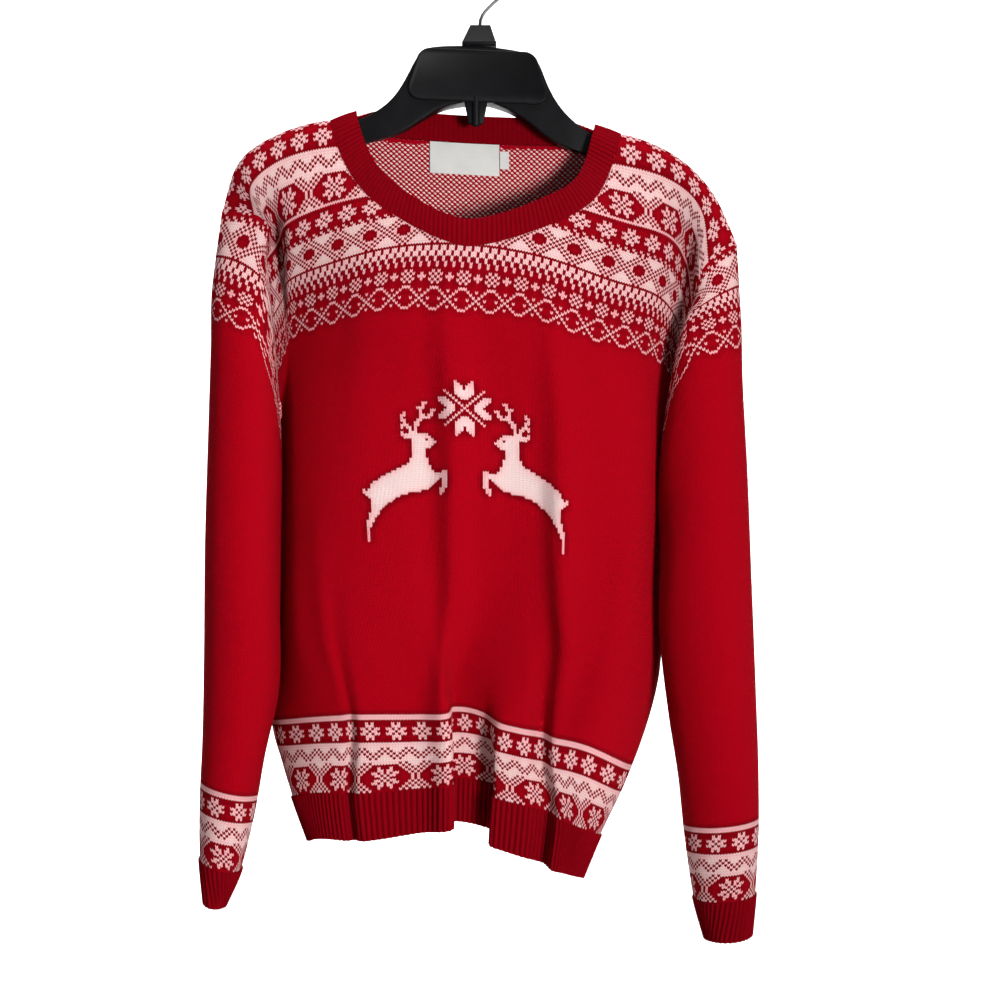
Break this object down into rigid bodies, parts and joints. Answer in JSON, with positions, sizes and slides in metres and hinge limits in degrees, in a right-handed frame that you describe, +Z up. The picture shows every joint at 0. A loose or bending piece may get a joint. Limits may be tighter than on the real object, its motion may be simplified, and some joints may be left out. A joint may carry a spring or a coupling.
{
  "type": "knitted christmas sweater on a clothes hanger",
  "caption": "Patterned crew-neck pullover hanging on a moulded clothes hanger, with ribbed neck, cuffs and hem, and a wire hook that hangs over a rail.",
  "frame": {"origin": "inner top of the wire hook's bend, where it rests on a rail", "axes": "+Z up along the hanging garment, -Y out of the sweater's front, +X towards the wearer's left sleeve"},
  "size_m": [0.5023, 0.1459, 0.8732],
  "materials": {
    "red_knit": "matte stranded knit",
    "white_woven": "matte woven",
    "black_plastic": "satin",
    "dark_wire": "dark satin"
  },
  "bodies": {
    "root": {"front_panel": "red_knit", "back_panel": "red_knit", "hem_rib_front": "red_knit", "hem_rib_back": "red_knit", "sleeve_left": "red_knit", "sleeve_right": "red_knit", "cuff_left": "red_knit", "cuff_right": "red_knit", "neckband_front": "red_knit", "neckband_back": "red_knit", "neck_label": "white_woven", "size_tab": "white_woven", "hanger_body": "black_plastic", "hanger_prong": "black_plastic", "hanger_cap": "black_plastic", "hanger_hook": "dark_wire"}
  },
  "joints": []
}
